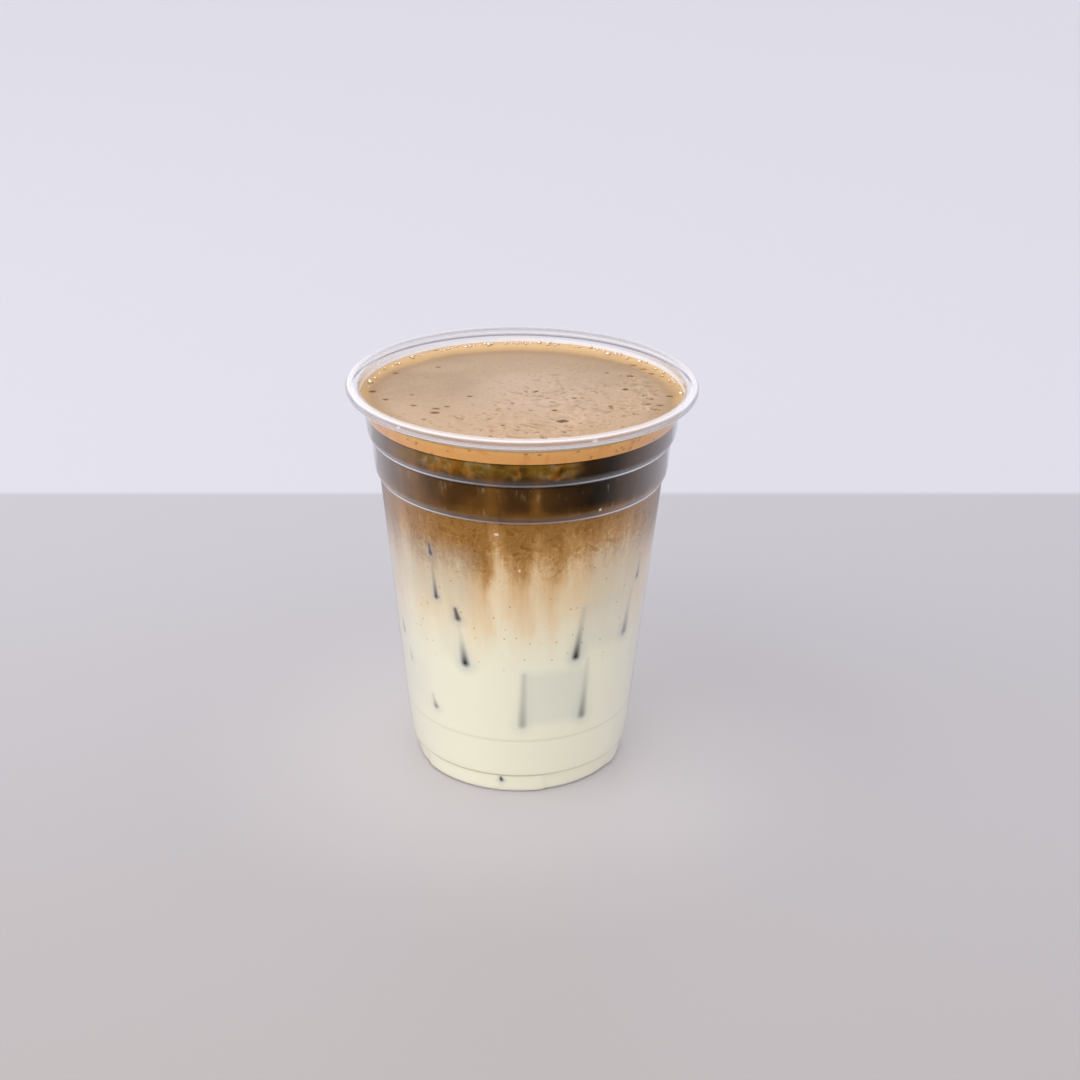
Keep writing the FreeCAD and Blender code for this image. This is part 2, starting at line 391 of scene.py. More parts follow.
def clear_sheet():
    """The wall over the drink: what lies behind shows through it unbent, and it shines
    more the more it is seen edge on, less so under the bands, where it is greyed with
    painted shade.  The folds over the two rings and the slopes above them have painted
    highlights, and the strip above the foam has a little white haze."""
    finish = Finish("clear_plastic_wall")
    along = finish.place()
    _, _, up = finish.parts(along)
    aside = edge_on(finish, along)
    # Under the bands the sheet's shine is turned down and it is greyed with painted shade.
    under_bands = up.eased(64, 84) * up.eased(88.2, 86.8)
    shine = ((aside - SQUARE_ON) / (1 - SQUARE_ON)).at_least(0) ** 1.5
    sheet = finish.mix_shaders(shine * (1 - under_bands * 0.22) + 0.002,
                               finish.shader("Transparent", (1, 1, 1, 1)),
                               finish.shader("Anisotropic", GLOSS, Roughness=0.08))
    painted_dulling = under_bands * (aside.eased(0.42, 1.0) * 0.42 + aside.eased(0.955, 0.995) * 0.35)
    sheet = finish.mix_shaders(painted_dulling, sheet, finish.shader("Diffuse", colour(112, 108, 105)))
    # Painted highlights on the ring folds and the slopes above them, and a white haze on the
    # strip above the foam.
    wavy = finish.noise(along, (1, 1, 0.3), 0.12)
    fold_highlights_and_haze = (in_bands(up, RING_FOLDS) * (wavy * 0.10 + aside * 2.1)
             + in_bands(up, RING_SLOPES) * (aside * 0.5 + 0.02)
             + up.eased(*STRIP_START) * 0.62)
    return finish.shown(finish.mix_shaders(fold_highlights_and_haze.at_most(1), sheet,
                                           finish.shader("Diffuse", colour(248, 250, 255))))


# Bands of painted light and shade along the rim, by degrees round its curl, 0 outermost
# and 90 on top: middle, half width and strength.  And two marks across it with painted
# highlights: azimuth, half width and strength.
DIM_CREST = [(115, 48, 0.80)]
PAINTED_UNDERSIDE_SHADE = [(-62, 22, 0.40)]
PAINTED_GREY_LINES = [(10, 34, 0.14), (24, 13, 0.30)]
PAINTED_HIGHLIGHT_LINES = [(52, 15, 0.62), (78, 36, 0.34), (-25, 15, 0.90)]
RIM_MARK_HIGHLIGHTS = [(23.3, 1.6, 0.45), (-40.4, 0.9, 0.45)]


def clear_rim():
    """The rolled rim.  Two painted highlights run along it, above and below its outside;
    between them it has painted grey shade, its underside has painted dark shade, and its
    crest, where its shine is turned down, is almost unseen.  Two marks across it have
    painted highlights."""
    finish = Finish("clear_plastic_rim")
    across, depth, up = finish.parts(finish.place())
    out = (radius_at(across, depth) - CURL_MIDDLE.x / MM) / (CURL_RADIUS / MM)
    rise = (up - CURL_MIDDLE.y / MM) / (CURL_HALF_HEIGHT / MM)
    turn = finish.maths("ARCTAN2", rise, out) * math.degrees(1)
    facing = finish.node("ShaderNodeLayerWeight", values={"Blend": 0.5}, result="Facing")
    sheet = finish.mix_shaders(facing ** 2.4 * (0.88 - in_bands(turn, DIM_CREST)) + 0.025,
                               finish.shader("Transparent", colour(254, 254, 254)),
                               finish.shader("Anisotropic", GLOSS, Roughness=0.05))
    # A dark tint on the rim's underside, painted shade.
    shade = finish.shader("Transparent", colour(140, 131, 134))
    sheet = finish.mix_shaders(in_bands(turn, PAINTED_UNDERSIDE_SHADE), sheet, shade)
    # Grey bands between the highlights, painted shade.
    grey = finish.shader("Diffuse", colour(158, 144, 147))
    sheet = finish.mix_shaders(in_bands(turn, PAINTED_GREY_LINES), sheet, grey)
    # Painted highlights along the rim and on its two marks.
    marks = in_bands(azimuth_at(across, depth), RIM_MARK_HIGHLIGHTS) * near(turn, 14, 30)
    painted_highlights = (in_bands(turn, PAINTED_HIGHLIGHT_LINES) + marks).at_most(1)
    return finish.shown(finish.mix_shaders(painted_highlights, sheet,
                                           finish.shader("Diffuse", colour(252, 248, 247))))


outline = spaced(rounded(outer_corners()))[:-1]
for step in range(CURL_STEPS + 1):
    turn = math.pi - CURL_TURN * step / CURL_STEPS
    across = math.cos(turn) * (CURL_RADIUS - WALL)
    rise = math.sin(turn) * (CURL_HALF_HEIGHT - WALL)
    outline.append(CURL_MIDDLE + Vector((across, rise)))
shell = spun(outline)
widen_lugs(shell)

# The curl's outermost faces settle which way the normals turn, and there the drawn face is
# the sheet's hidden one, so they are turned round before the sheet gets its thickness.
bmesh.ops.recalc_face_normals(shell, faces=shell.faces)
bmesh.ops.reverse_faces(shell, faces=shell.faces)
shell.normal_update()
bmesh.ops.solidify(shell, geom=shell.faces, thickness=WALL)
for face in shell.faces:
    face.material_index = 1 if face.calc_center_median().z > CURL_UNDERSIDE else 0
cup_shell = finished_piece("cup_shell", shell, clear_sheet(), clear_rim())
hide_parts("cup")

# --- Milk --------------------------------------------------------------------------
# Cold milk, the lower three quarters of the drink.  Tea sinks into it down the wall in
# tongues, and the ice in it shows where it comes near the wall.

foam_low, foam_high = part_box("foam")
FOAM_UNDERSIDE = foam_low.z
TEA_DEPTH = 28.7 * MM
MILK_LEVEL = FOAM_UNDERSIDE - TEA_DEPTH

# The drink's side lies this far in from the cup's outer face, inside the sheet, and the
# first corners of its outline, those of the base, lie as far above it.
INTO_WALL = 0.2 * MM
BASE_CORNERS = 4

# Rings of vertices on a level of the drink, how near to the side a vertex counts as on it,
# and how little over its top a row still moves with it.
RINGS_INSIDE = 10
ON_WALL = 0.01 * MM
SLACK = 0.001

# The level between milk and tea: how deep its tongues sink, the radius at which they
# start, and the heights on the side down to and up to which its rows move with them.
SINK_DEPTH = 20.0 * MM
SINK_START = 14.0 * MM
STRETCH_BOTTOM = 20.0 * MM
STRETCH_TOP = 87.0 * MM

# Tongues of tea in the milk's upper edge: azimuth, half width and share of SINK_DEPTH.
# The milk rises in the same way between them.
TEA_TONGUES = [
    (-168, 9, 0.7), (-140, 8, 0.9), (-112, 10, 0.5), (-76, 10, 0.3), (-46, 8, 0.9),
    (-16, 7, 1.0), (1, 6, 0.7), (15, 6, 1.0), (34, 8, 0.6), (96, 10, 0.8),
    (122, 8, 0.5), (150, 9, 1.0),
]
MILK_RISES = [(62, 16, 0.45), (-92, 12, 0.35), (-10, 4, 0.2), (178, 12, 0.3)]


def drink_outline(low, high):
    """The drink's side from one height to another, reaching just into the wall."""
    corners = []
    for number, (radius, height, rounding) in enumerate(outer_corners()):
        raised = INTO_WALL if number < BASE_CORNERS else 0
        corners.append((max(0, radius - INTO_WALL), height + raised, rounding))
    points = spaced(rounded(corners))
    kept = []
    for here, there in zip(points, points[1:]):
        if low <= here.y <= high:
            kept.append(here)
        elif here.y < low < there.y:
            kept.append(here.lerp(there, (low - here.y) / (there.y - here.y)))
        if here.y <= high < there.y:
            kept.append(here.lerp(there, (high - here.y) / (there.y - here.y)))
            break
    return kept


def inner_rings(radius, height):
    """Points from the side in to the axis at one height."""
    return [Vector((radius * (1 - part / RINGS_INSIDE), height))
            for part in range(1, RINGS_INSIDE + 1)]


def taper_radius(height):
    """The drink's radius on the straight wall between the crease and the lower ring."""
    share = (height - CREASE[1]) / (LOWER_RING[1] - CREASE[1])
    return CREASE[0] + (LOWER_RING[0] - CREASE[0]) * share - INTO_WALL


def swell(azimuth, humps):
    return sum(share * math.exp(-(turned_by(azimuth, centre) / half) ** 2)
               for centre, half, share in humps)


def lift(place):
    """How far the level between milk and tea is lifted at a point."""
    radius = math.hypot(place.x, place.y)
    outward = max(0, (radius - SINK_START) / (LOWER_RING[0] - SINK_START))
    azimuth = azimuth_of(place)
    return SINK_DEPTH * outward * (swell(azimuth, MILK_RISES) - swell(azimuth, TEA_TONGUES))


def bend_layer(mesh, still):
    """Bends the level between milk and tea, and the side's rows with it, as far as the
    height that stays still."""
    for vert in mesh.verts:
        radius = math.hypot(vert.co.x, vert.co.y)
        share = (vert.co.z - still) / (MILK_LEVEL - still)
        if not 0 < share < 1 + SLACK:
            continue
        moved = vert.co.z + lift(vert.co) * share
        if radius > taper_radius(vert.co.z) - ON_WALL:
            out = taper_radius(moved) / radius
            vert.co.x *= out
            vert.co.y *= out
        vert.co.z = moved


# The drink's colour as it holds more and more tea, from pure milk to strong tea.
TEA_SHADES = [
    (0.00, colour(246, 244, 219)),
    (0.12, colour(241, 223, 187)),
    (0.30, colour(227, 194, 146)),
    (0.48, colour(188, 143, 85)),
    (0.64, colour(144, 99, 40)),
    (0.80, colour(84, 55, 21)),
    (1.00, colour(34, 24, 11)),
]

# How the tea gets stronger up the wall: between two heights in mm, by so much.
TEA_RISES = [(40, 54, 0.05), (50, 67, 0.14), (63, 76, 0.16), (71, 82, 0.18), (79, 87, 0.08)]

# How far the tea comes down the wall, in mm, at azimuths round the cup.
TEA_RUNS = [
    (-180, -4), (-168, 9), (-154, -8), (-140, 11), (-125, -7), (-112, 8), (-96, -6), (-82, 4),
    (-66, 3), (-56, -4), (-45, 3), (-34, 1), (-27, 1), (-21, 3), (-15.5, 8), (-10, -5),
    (-2, 3), (4, 5), (9, -3), (15.5, 4), (21, -3), (27, -1), (34, -2), (48, -3), (64, 2),
    (90, 7), (108, -7), (122, 8), (136, -8), (150, 11), (166, -7), (180, -4),
]
LONGEST_RUN = 12

# How much darker the tea is in the lower band, at azimuths round the cup.
BAND_SHADES = [
    (-180, 0.0), (-165, 0.08), (-150, -0.06), (-125, 0.10), (-95, -0.08), (-60, -0.02),
    (-45, -0.09), (-28, -0.02), (-14, -0.01), (-9, -0.09), (-6, -0.06), (-2.5, 0.05),
    (1.5, 0.05), (6.5, -0.06), (10.5, 0.02), (15, 0.08), (24, 0.12), (34, 0.18), (44, 0.07),
    (60, 0.05), (95, -0.08), (120, 0.10), (150, -0.08), (165, -0.10), (180, 0.0),
]
DARKEST_SHADE = 0.25

# How much a painted reflection of the room's pale light dulls the colour of the mixed zone, at
# azimuths.
DULLED = [
    (-180, 0.0), (-95, 0.0), (-70, 0.16), (-45, 0.22), (-25, 0.22), (-12, 0.0), (24, 0.0),
    (36, 0.17), (56, 0.20), (72, 0.0), (180, 0.0),
]

# Where the upper band is mottled with gold: azimuths, 1 in full and 0 not at all.
GOLD_WINDOWS = [
    (-180, 0.0), (-160, 0.0), (-140, 1.0), (-105, 1.0), (-90, 0.0), (-56, 0.0), (-46, 0.6),
    (-36, 1.0), (16, 1.0), (25, 0.0), (80, 0.0), (95, 1.0), (130, 1.0), (145, 0.0), (180, 0.0),
]

# Heights in mm of thin lines of painted shade round the wall, where a fold of the sheet
# shades the drink, with half their height: on the foot's step, on the crease, under the
# lower ring, under the upper ring and under the foam.
STEP_LINE = (5.9, 0.55)
CREASE_LINE = (18.3, 0.7)
DASHED_LINE = (87.75, 0.35)
RING_LINE = (99.0, 0.4)
FOAM_LINE = (106.25, 0.5)

# Drops with a painted highlight: azimuth, height and half width in mm.
GLINTS = [
    (31.5, 90.5, 0.45), (-8.8, 84.6, 0.8), (0.3, 73.8, 0.4), (104, 85, 0.5), (-131, 90.4, 0.5),
]

# Where ice shows dark through the milk along an edge: azimuth and height of its upper
# and lower ends, half width in mm and how dark each end is.
ICE_EDGES = [
    (-39.3, 77.5, -38.8, 74.8, 0.8, 0.70, 0.85), (-38.8, 74.0, -37.6, 61.5, 0.9, 0.10, 0.97),
    (-28.0, 59.3, -27.0, 56.6, 1.2, 0.80, 0.88), (-26.5, 54.0, -24.5, 42.6, 1.5, 0.05, 1.00),
    (29.0, 60.0, 26.6, 44.9, 1.4, 0.12, 1.00), (57.5, 60.0, 55.5, 47.5, 1.6, 0.10, 0.66),
    (2.8, 40.3, 2.3, 24.0, 1.6, 0.20, 0.42), (33.2, 43.0, 32.4, 24.8, 1.6, 0.10, 0.60),
    (62.5, 70.0, 61.3, 63.5, 1.0, 0.15, 0.80), (-45.3, 27.6, -43.8, 24.6, 1.1, 0.20, 0.72),
    (-8.7, 4.7, -8.4, 4.1, 0.9, 0.90, 0.95), (-68.5, 46.5, -67.5, 43.5, 0.9, 0.45, 0.65),
    (-62.5, 39.0, -61.5, 36.0, 1.0, 0.15, 0.30), (78.0, 29.0, 78.0, 23.0, 1.1, 0.35, 0.60),
    (104, 64, 102, 52, 1.3, 0.10, 0.95), (131, 44, 130, 30, 1.5, 0.20, 0.80),
    (163, 58, 162, 46, 1.4, 0.08, 0.95), (-158, 40, -157, 27, 1.4, 0.15, 0.85),
    (-127, 66, -126, 56, 1.2, 0.10, 0.90), (-104, 34, -105, 24, 1.4, 0.15, 0.75),
]

# Flat sides of ice cubes that show grey: azimuths, heights and how strong.
ICE_FACES = [
    (2.5, 33.0, 24.0, 41.0, 0.27), (28.0, 56.5, 46.0, 62.0, 0.20),
    (-37.0, -26.0, 44.0, 56.0, 0.12), (-64.0, -46.0, 25.0, 38.0, 0.08),
    (131, 160, 29, 45, 0.30), (-157, -128, 26, 42, 0.30), (102, 128, 50, 66, 0.22),
]
FACE_SOFTNESS = 2.2
MM_PER_DEGREE = 0.66


def round_wall(finish, azimuth, table, reach):
    """The value that a table of (azimuth, value) gives, its values within reach of 0."""
    stops = [((centre + 180) / 360, (*[value / reach / 2 + 0.5] * 3, 1))
             for centre, value in table]
    found = finish.ramp(azimuth / 360 + 0.5, stops, "EASE")
    return (found - 0.5) * (reach * 2)


def ice_edge(finish, across, up, edge):
    """The distance from one edge of ice, in its half widths, and how dark it is there."""
    high_azimuth, high, low_azimuth, low, half, high_dark, low_dark = edge
    share = finish.node("ShaderNodeMapRange",
                        values={"Value": up, "From Min": low, "From Max": high})

    def along_edge(at_low, at_high):
        return finish.maths("MULTIPLY_ADD", share, at_high - at_low, at_low)

    beside = across - along_edge(low_azimuth * MM_PER_DEGREE, high_azimuth * MM_PER_DEGREE)
    apart = finish.joined(beside, up - along_edge(low, high))
    length = finish.vector_maths("LENGTH", {0: apart}, result="Value")
    dark = (1 - share) ** 2.2 * (low_dark - high_dark) + high_dark
    return length / along_edge(half, half * 0.6), dark


def within(value, low, high):
    """1 between two ends, with soft edges."""
    half = (high - low) / 2
    return (value - (low + high) / 2).size().eased(half + FACE_SOFTNESS, half - FACE_SOFTNESS)


def ice_shown(finish, tint, across, up):
    """The drink's colour with the ice in it showing grey and, at its edges, dark."""
    faces = covered(
        within(across, left * MM_PER_DEGREE, right * MM_PER_DEGREE) * within(up, low, high)
        * strength for left, right, low, high, strength in ICE_FACES)
    tint = finish.blend(faces, tint, colour(196, 203, 200))
    halo = core = 0
    for edge in ICE_EDGES:
        away, dark = ice_edge(finish, across, up, edge)
        halo = (away.eased(3.6, 0) * dark).at_least(halo)
        core = (away.eased(1.4, 0) * dark).at_least(core)
    tint = finish.blend(halo * 0.42, tint, colour(166, 178, 186))
    return finish.blend(core, tint, colour(38, 34, 40))


def drink_colour(finish):
    """The drink seen through the wall, one colouring for milk and tea alike."""
    along = finish.place()
    east, north, up = finish.parts(along)
    azimuth = azimuth_at(east, north)
    wander = finish.noise(along, (1, 1, 0.6), 0.07, 3.0) - 0.5
    ragged = finish.noise(along, (1, 1, 0.18), 0.20, 4.0, 0.3) - 0.5
    strands = finish.noise(along, (1, 1, 0.10), 0.75, 3.0, 0.2) - 0.5
    swirl = finish.noise(along, (1, 1, 1), 0.12, 4.0, 3.2)
    fine = finish.noise(along, (1, 1, 0.8), 0.55, 4.0, 1.2) - 0.5
    blotch = finish.noise(along, (1.3, 1.3, 0.8), 0.10, 3.0, 0.8) - 0.5

    # Tea is strongest above and thins out downwards, in runs and swirls.
    runs = round_wall(finish, azimuth + wander * 14, TEA_RUNS, LONGEST_RUN) * up.eased(38, 62)
    thinned = up + runs + ragged * 12 + strands * 7 + fine * 2.5
    tea = sum(thinned.eased(low, high) * share for low, high, share in TEA_RISES)
    wisps = up.eased(90, 84) * up.eased(64, 76)
    curls = near(swirl, 0.53, 0.04) * wisps
    tea = tea + wisps * (swirl - 0.5) * 0.22 - curls * 0.075 + fine * wisps * 0.14

    # In the two bands it is dark, from the lower ring up.
    banded = (up + fine * 1.4).eased(87.3, 89.2)
    shades = round_wall(finish, azimuth + wander * 6, BAND_SHADES, DARKEST_SHADE)
    tea = tea + banded * (blotch * 0.22 + 0.12 + ragged * 0.08) + up.eased(90, 93.5) * 0.09
    # The tea darkens by its shades, and by painted shade in a line under the upper ring.
    tea = tea + shades * up.eased(90, 93) + near(up, *RING_LINE) * 0.12
    tint = finish.ramp(tea, TEA_SHADES)
    # A painted reflection of the room's pale light dulls the mixed zone at some azimuths.
    painted_dulling = round_wall(finish, azimuth, DULLED, 1) * up.eased(52, 68) * up.eased(82, 74)
    tint = finish.blend(painted_dulling, tint, colour(162, 196, 204))

    # Under the foam the upper band is mottled with gold, in patches with darker edges.
    mottle = finish.noise(along, (1, 1, 1.2), 0.17, 4.0, 0.6)
    other = finish.noise(along, (1.1, 1.1, 0.9), 0.12, 4.0, 0.9)
    gold = finish.blend(other.eased(0.44, 0.66), colour(132, 104, 28), colour(170, 110, 32))
    gold = finish.blend(mottle.eased(0.50, 0.62) * 0.8, gold, colour(164, 138, 96))
    bent = finish.joined(east + (other - 0.5) * 9, north + (mottle - 0.5) * 9, up + fine * 6)
    edges = finish.cells(bent, "DISTANCE_TO_EDGE", 0.21)
    gold = finish.blend(edges.eased(0.12, 0.02) * 0.36, gold, colour(84, 60, 16))
    golden = round_wall(finish, azimuth, GOLD_WINDOWS, 1)
    golden = golden * (up + (other - 0.5) * 8).eased(100.8, 104.4)
    golden = golden * (mottle + fine * 0.25).eased(0.27, 0.54)
    tint = finish.blend(golden * 0.84, tint, gold)
    # Painted shade in a line under the foam, and in dashes under the lower ring.
    tint = finish.blend(near(up, *FOAM_LINE) * 0.6, tint, colour(36, 24, 10))
    dashes = near(up, *DASHED_LINE) * (blotch + fine).eased(-0.05, 0.2)
    tint = finish.blend(dashes * 0.55, tint, colour(70, 46, 20))

    # Froth has run down the wall from the upper ring, and drops with painted highlights
    # hang over the lower one.
    threads = finish.noise(along, (1, 1, 0.16), 0.9, 4.0, 0.8)
    hung = (up - ragged * 8).eased(94.5, 97.8) * up.eased(98.8, 98.3)
    hung = hung + up.eased(93.0, 91.0) * up.eased(89.5, 89.9)
    hung = hung * threads.eased(0.52, 0.70) * (swirl - blotch).eased(0.44, 0.62)
    tint = finish.blend(hung * 0.26, tint, colour(196, 172, 140))
    across = azimuth * MM_PER_DEGREE
    # Painted highlights on the drops.
    glints = covered(
        ((across - centre * MM_PER_DEGREE) / half).size().eased(1, 0.4)
        * (up - height).size().eased(0.5, 0.2) for centre, height, half in GLINTS)
    tint = finish.blend(glints * 0.8, tint, colour(250, 238, 220))

    # Below the bands there is ice behind the milk, with specks of tea on the wall.
    tint = ice_shown(finish, tint, across, up)
    specks = finish.cells(along, "F1", 0.35).eased(0.13, 0.05)
    specks = specks * up.eased(34, 52) * up.eased(88, 80)
    tint = finish.blend(specks * 0.6, tint, colour(166, 116, 64))
    # Painted shade in lines on the crease and on the foot's step.
    tint = finish.blend(near(up, *CREASE_LINE) * 0.24, tint, colour(200, 188, 150))
    return finish.blend(near(up, *STEP_LINE) * 0.48, tint, colour(184, 170, 124))


milk_side = drink_outline(0, MILK_LEVEL)
milk_mesh = spun(milk_side + inner_rings(milk_side[-1].x, MILK_LEVEL))
widen_lugs(milk_mesh)
bend_layer(milk_mesh, STRETCH_BOTTOM)
drink = Finish("drink_in_cup")
drink.shown_solid(drink_colour(drink), roughness=0.55, specular=0.05)
milk_body = finished_piece("milk_body", milk_mesh, drink)
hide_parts("milk")

# --- Tea ---------------------------------------------------------------------------
# Dark roasted tea poured over the milk.  It fills the two bands of the wall and sinks
# into the milk below them in swirls.

tea_side = drink_outline(MILK_LEVEL, FOAM_UNDERSIDE)
below = inner_rings(tea_side[0].x, MILK_LEVEL)[::-1]
above = inner_rings(tea_side[-1].x, FOAM_UNDERSIDE)
tea_mesh = spun(below + tea_side + above)
bend_layer(tea_mesh, STRETCH_TOP)
tea_body = finished_piece("tea_body", tea_mesh, drink)
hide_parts("tea")

# --- Ice ---------------------------------------------------------------------------
# Ice cubes sunk in the drink, some of them close behind the wall, where their edges show
# through the milk.  The drink hides all of them.

# Azimuth, distance from the axis and height in mm, and turn and tilt in degrees.
ICE_CUBES = [
    (18, 17, 33, 18, 2), (42, 21, 53, 42, -6), (-32, 21, 51, -30, 9), (-52, 19, 31, -50, -4),
    (145, 18, 37, 145, 3), (-142, 19, 34, -142, -5), (115, 23, 58, 115, 6),
    (-126, 22, 61, -120, -8), (60, 22, 77, 30, 14), (-100, 23, 84, 10, 20),
    (180, 12, 80, 25, -12), (0, 8, 72, 40, 10),
]
CUBE_SIZE = Vector((22, 20, 17)) * MM
CUBE_EDGE = 1.5 * MM


def turned(degrees, axis):
    return Matrix.Rotation(math.radians(degrees), 4, axis)


ice_mesh = bmesh.new()
for azimuth, distance, height, turn, tilt in ICE_CUBES:
    middle = turned(azimuth, "Z") @ Vector((0, -distance * MM, height * MM))
    matrix = (Matrix.Translation(middle) @ turned(turn, "Z") @ turned(tilt, "Y")
              @ Matrix.Diagonal((*CUBE_SIZE, 1)))
    bmesh.ops.create_cube(ice_mesh, size=1.0, matrix=matrix)
bmesh.ops.bevel(ice_mesh, geom=ice_mesh.edges[:], offset=CUBE_EDGE, segments=3, profile=0.5,
                affect="EDGES", material=-1)
ice = Finish("sunk_ice").shown_solid(colour(206, 216, 218), roughness=0.15, specular=0.5)
ice_cubes = finished_piece("ice_cubes", ice_mesh, ice)

# --- Foam --------------------------------------------------------------------------
# A layer of tan foam that floats on the tea.  Its top is a skin with fine ripples and
# small open pits, and its edge climbs the wall.

FOAM_TOP = 110.7 * MM
FOAM_CELLS = 288
CLIMB_WIDTH = 1.6 * MM
foam_side = drink_outline(FOAM_UNDERSIDE, foam_high.z)
FOAM_RADIUS = foam_side[-1].x

# The skin's relief in mm: broad swells, small ripples, wavelets, pits and their lips.
SWELL_RISE = 0.16
RIPPLE_RISE = 0.06
WAVELET_RISE = 0.24
PIT_DEPTH = 0.6
LIP_RISE = 0.10
PIT_REACH = 1.7

# Open pits in the skin, in mm: across, depth, half length, half width.
FOAM_PITS = [
    (-36.3, 15.0, 1.0, 0.8), (-41.6, -0.6, 1.3, 1.1), (-37.4, -7.0, 1.0, 0.9),
    (-29.4, -11.5, 1.0, 0.8), (-23.2, -13.6, 1.3, 0.9), (-20.3, -11.9, 0.9, 0.8),
    (-23.3, -16.7, 1.5, 1.2), (-14.4, -3.5, 1.0, 0.8), (32.1, 25.3, 1.3, 0.9),
    (35.0, 22.0, 1.2, 0.8), (30.9, 15.5, 1.4, 1.0), (37.0, 18.0, 1.0, 0.9),
    (34.4, -7.9, 1.3, 0.9), (41.2, -1.0, 1.2, 0.8), (11.2, -22.2, 2.0, 1.6),
    (11.5, -30.5, 0.9, 0.9), (6.2, -35.2, 1.1, 0.9), (24.5, -10.0, 0.8, 0.6),
    (-2.5, -9.0, 0.8, 0.6), (9.0, -14.0, 0.9, 0.6), (29.0, 4.0, 0.9, 0.7),
    (35.5, -3.5, 1.4, 0.7), (38.0, -8.5, 1.4, 0.7), (36.6, -12.0, 1.5, 0.7),
    (31.0, -16.0, 1.0, 0.7), (28.0, -17.5, 0.8, 0.7), (-4.5, -26.0, 1.0, 0.6),
    (-1.0, -29.5, 1.1, 0.6), (2.0, -31.5, 1.0, 0.7), (5.5, -28.0, 0.9, 0.5),
    (-8.0, -21.0, 0.7, 0.5), (8.5, -7.5, 0.8, 0.5), (14.5, -4.0, 1.1, 0.6),
    (17.0, -12.5, 0.8, 0.5), (4.0, 1.5, 0.9, 0.5), (-30.5, -3.0, 0.7, 0.6),
    (24.0, 17.5, 1.0, 0.5), (-24.5, 21.0, 0.9, 0.6), (-26.0, -22.5, 0.7, 0.6),
    (2.5, -14.5, 0.9, 0.6), (-6.0, -13.5, 0.9, 0.5),
]


def foam_relief(place):
    """The skin's height over its level in mm, how far a point lies in a pit, and where it
    is on a wavelet, 1 on the crest."""
    x, y = place.x / MM, place.y / MM
    radius = math.hypot(x, y)
    waves = smooth(-22, 8, x - 0.5 * y) * (1 - smooth(36, 43, radius))
    waves *= 1 - smooth(-6, 26, y) * 0.6
    waves *= 0.5 + 0.5 * smooth(-0.3, 0.2, noise.noise(Vector((x * 0.09, y * 0.09, 4.4))))
    broad = noise.noise(Vector((x * 0.045, y * 0.045, 1.7)))
    wander = noise.noise(Vector((x * 0.12, y * 0.12, 5.1))) * 2.2
    wave = noise.noise(Vector((x * 0.36 + wander, y * 0.62 - wander, 9.3)))
    small = noise.noise(Vector((x * 0.8, y * 1.3, 3.3)))
    crest = waves * (1 - abs(wave) * 4.2 + small * 0.8)
    rise = SWELL_RISE * broad + RIPPLE_RISE * small * (0.3 + waves) + WAVELET_RISE * crest
    pit = 0
    for across, depth, long, wide in FOAM_PITS:
        if abs(x - across) > PIT_REACH * long or abs(y - depth) > PIT_REACH * wide:
            continue
        away = math.hypot((x - across) / long, (y - depth) / wide)
        pit = max(pit, 1 - smooth(0.35, 1.15, away))
        rise += LIP_RISE * (smooth(0.9, 1.2, away) - smooth(1.2, PIT_REACH, away))
    level = 1 - smooth(FOAM_RADIUS / MM - 2.4, FOAM_RADIUS / MM - 0.8, radius)
    return (rise - PIT_DEPTH * pit) * level, pit * level, crest * level


